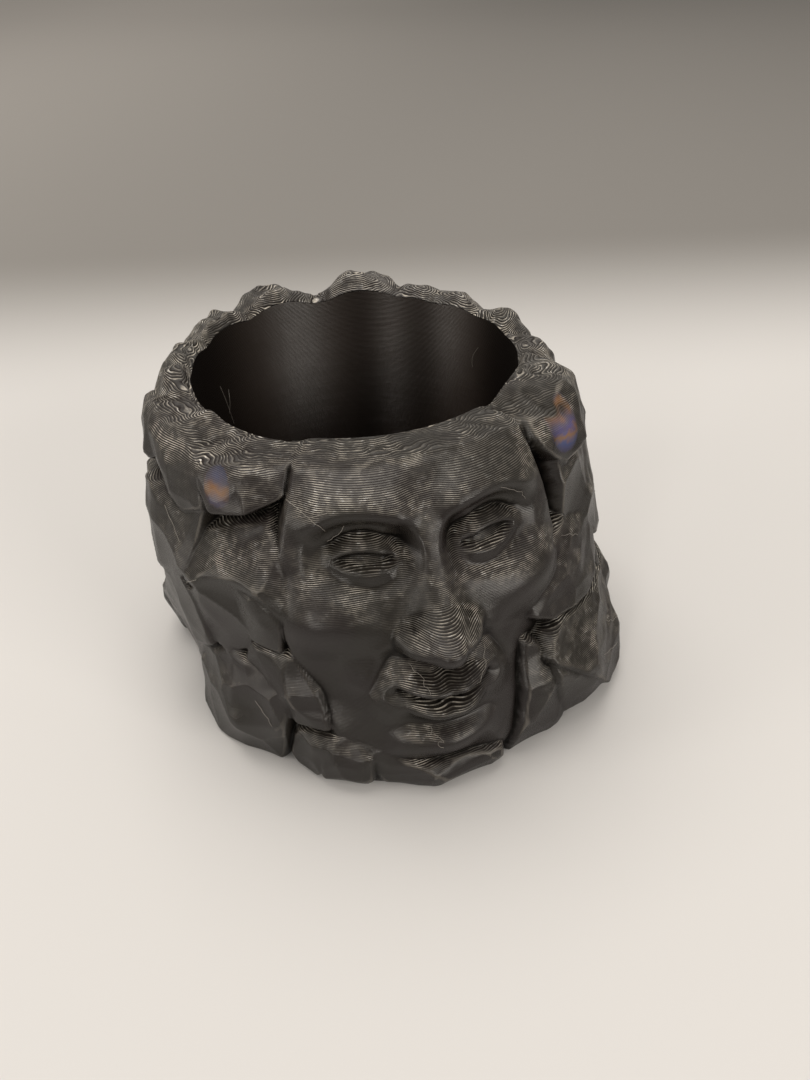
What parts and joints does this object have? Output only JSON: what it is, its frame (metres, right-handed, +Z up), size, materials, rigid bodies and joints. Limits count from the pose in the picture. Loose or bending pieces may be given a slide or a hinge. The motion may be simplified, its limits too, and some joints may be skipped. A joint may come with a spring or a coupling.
{
  "type": "small face planter",
  "caption": "Small one-piece plant pot with a rough rock wall, a calm human face with drawn lips at the front, a round straight bore, a closed floor and a flat base.",
  "frame": {"origin": "on the bore's axis, on the flat base that the planter stands on", "axes": "+Z up along the bore's axis, -Y the way the face looks, +X to the right of someone who looks at the face"},
  "size_m": [0.0961, 0.1039, 0.0652],
  "materials": {
    "black_print": "black printed plastic with a satin sheen and fine layer lines"
  },
  "bodies": {
    "root": {"planter_body": "black_print"}
  },
  "joints": []
}
